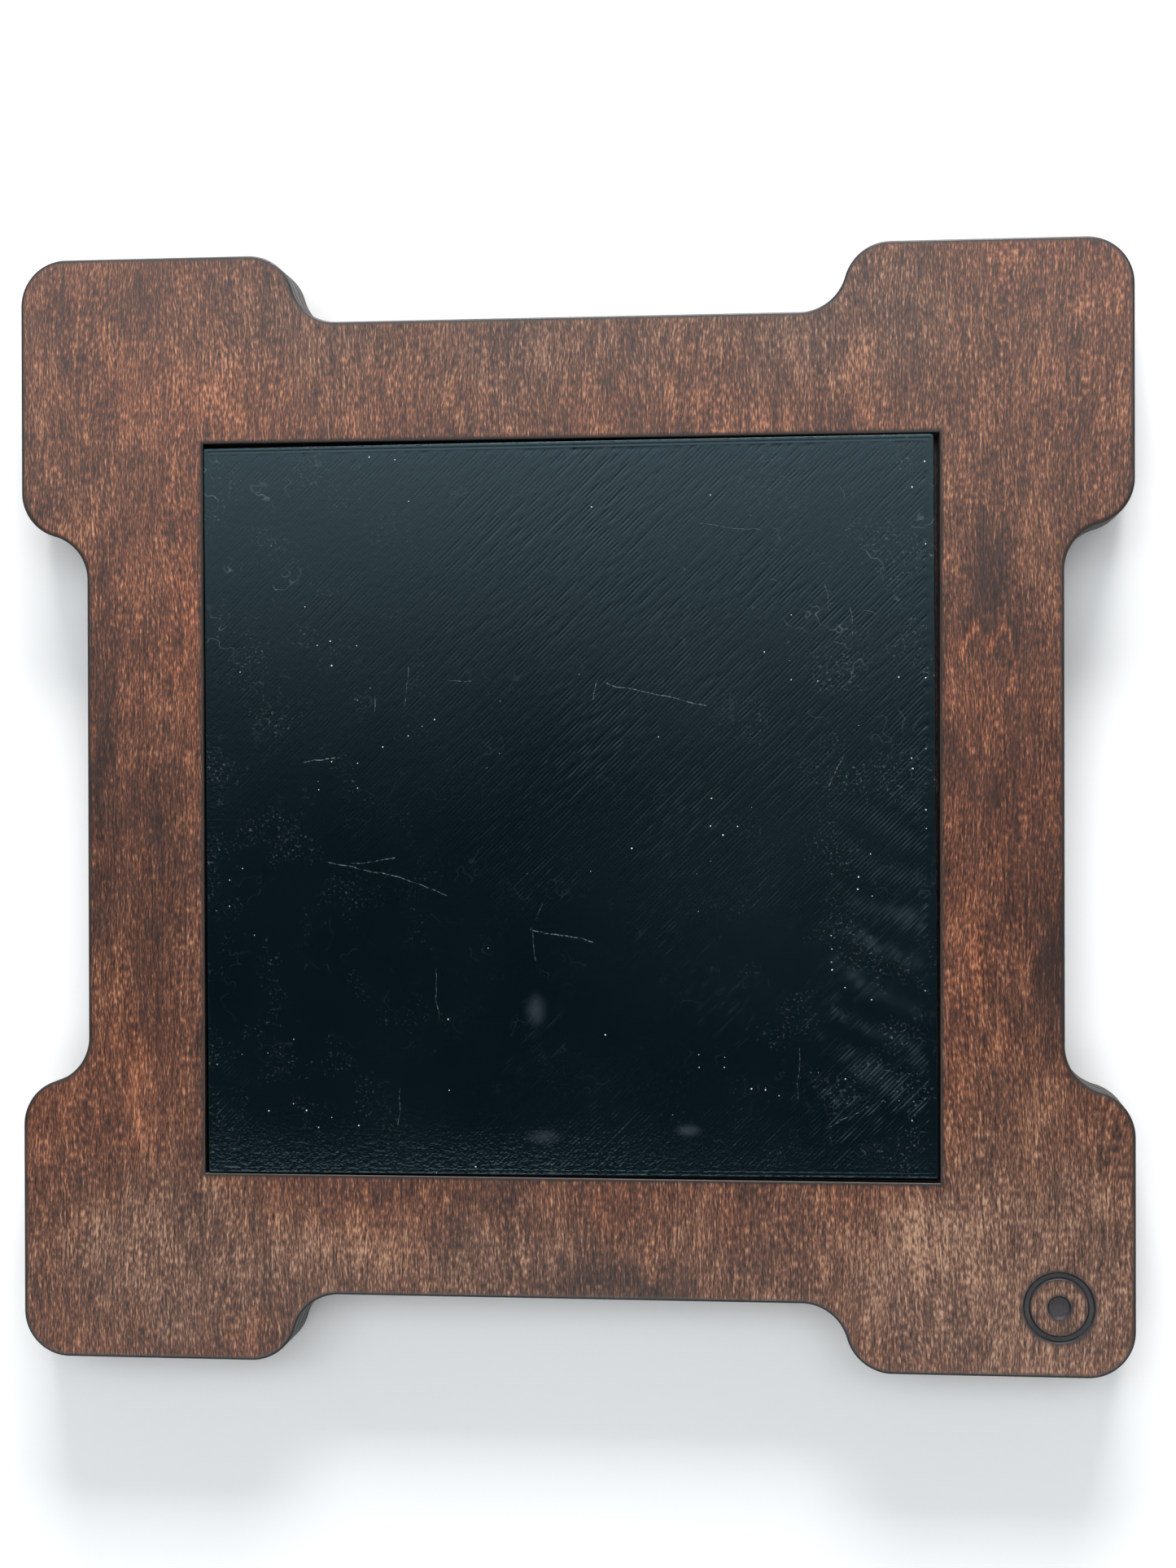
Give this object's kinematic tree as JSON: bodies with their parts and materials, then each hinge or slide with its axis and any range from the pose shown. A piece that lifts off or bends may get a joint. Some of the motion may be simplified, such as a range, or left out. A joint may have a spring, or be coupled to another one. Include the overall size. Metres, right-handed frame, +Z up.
{
  "type": "tabletop game board",
  "caption": "Small square game board: waisted laminated plywood frame with four corner lobes around a loose, flush, square 3D-printed black panel.",
  "frame": {"origin": "on the table, under the centre of the board", "axes": "+Z up through the playing panel, +X to the right, +Y away from the player along the veneer's grain, engraved mark at +X -Y"},
  "size_m": [0.1524, 0.1524, 0.011],
  "materials": {
    "stained_veneer": "walnut-stained birch, satin, fine grain along Y",
    "darkened_core": "laser-darkened, sealed edge",
    "printed_plastic": "black satin 3D print, bead lines at 45 degrees, scratched",
    "foot_rubber": "soft matt"
  },
  "bodies": {
    "frame": {"bottom_sheet_back_veneer": "stained_veneer", "bottom_sheet_cross_core": "darkened_core", "bottom_sheet_face_veneer": "stained_veneer", "middle_sheet_back_veneer": "stained_veneer", "middle_sheet_cross_core": "darkened_core", "middle_sheet_face_veneer": "stained_veneer", "top_sheet_back_veneer": "stained_veneer", "top_sheet_cross_core": "darkened_core", "top_sheet_face_veneer": "stained_veneer", "rubber_foot_near_left": "foot_rubber", "rubber_foot_near_right": "foot_rubber", "rubber_foot_far_left": "foot_rubber", "rubber_foot_far_right": "foot_rubber"},
    "panel": {"printed_panel": "printed_plastic"}
  },
  "joints": [
    {"name": "panel_lift", "type": "slide", "parent": "frame", "child": "panel", "axis": [0, 0, 1], "range_m": [0, 0.03]}
  ]
}
